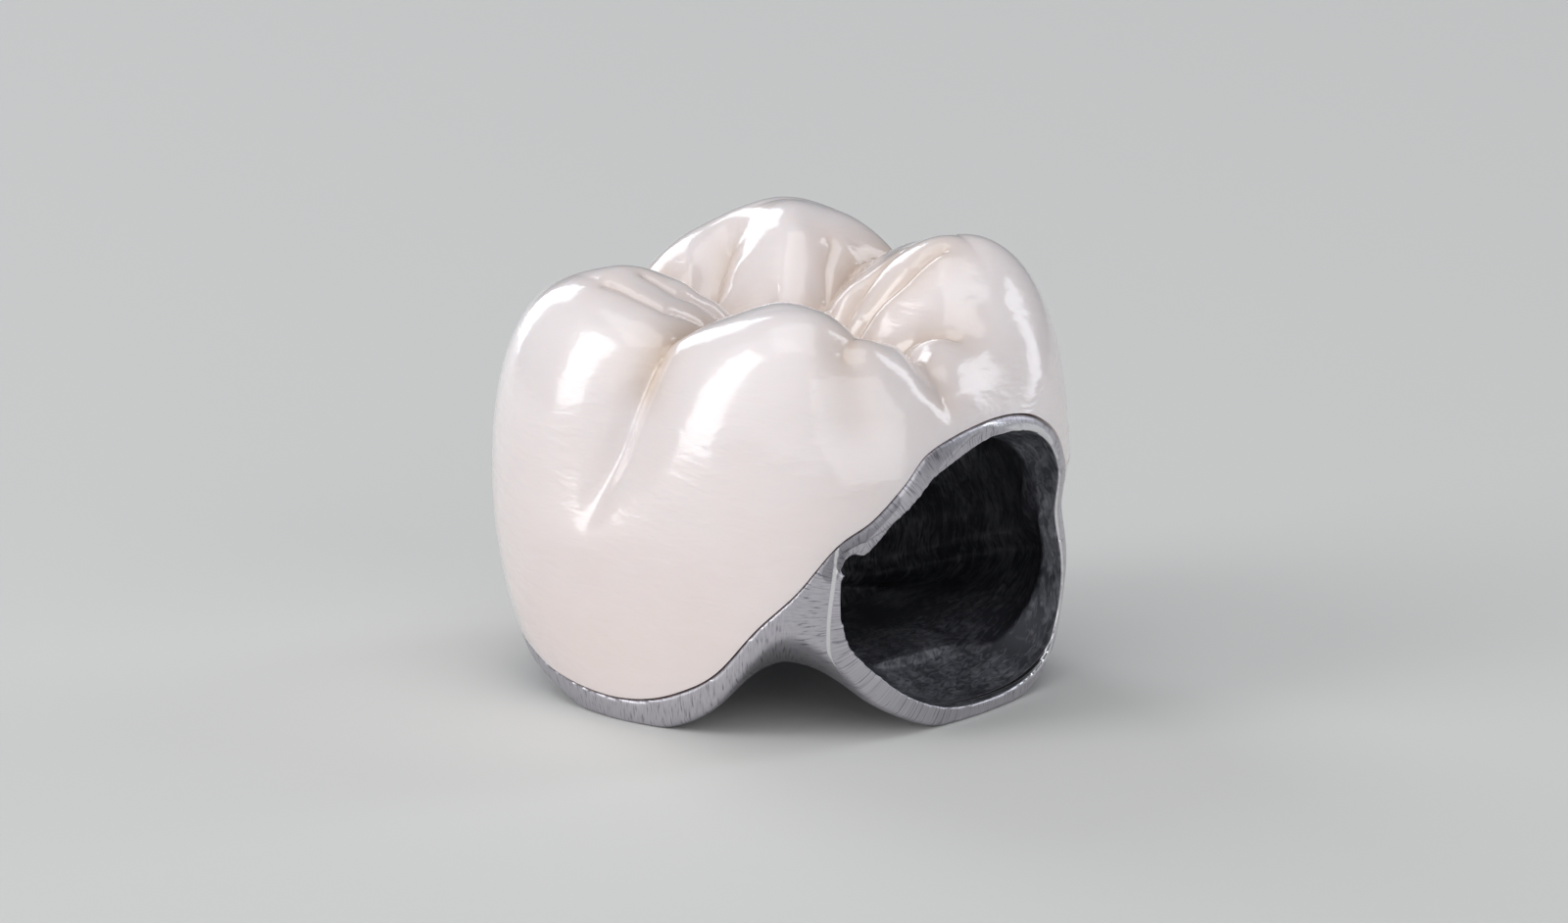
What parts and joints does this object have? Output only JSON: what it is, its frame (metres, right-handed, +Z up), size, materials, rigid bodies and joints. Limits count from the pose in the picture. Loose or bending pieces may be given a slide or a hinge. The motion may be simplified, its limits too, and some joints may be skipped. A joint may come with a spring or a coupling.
{
  "type": "dental crown",
  "caption": "Metal-ceramic molar crown: glazed porcelain over a cast metal coping, with an opening in its distal side.",
  "frame": {"origin": "on the surface that the crown stands on, under the middle of its length and width", "axes": "+X to the distal side with the opening, +Y to the lingual side, +Z up to the cusps"},
  "size_m": [0.0109, 0.0104, 0.0093],
  "materials": {
    "dental_alloy": "ground satin alloy, burnished bright round the distal opening and dark inside",
    "glazed_porcelain": "glossy glazed porcelain, warmer in the fissures"
  },
  "bodies": {
    "root": {"metal_coping": "dental_alloy", "porcelain_veneer": "glazed_porcelain"}
  },
  "joints": []
}
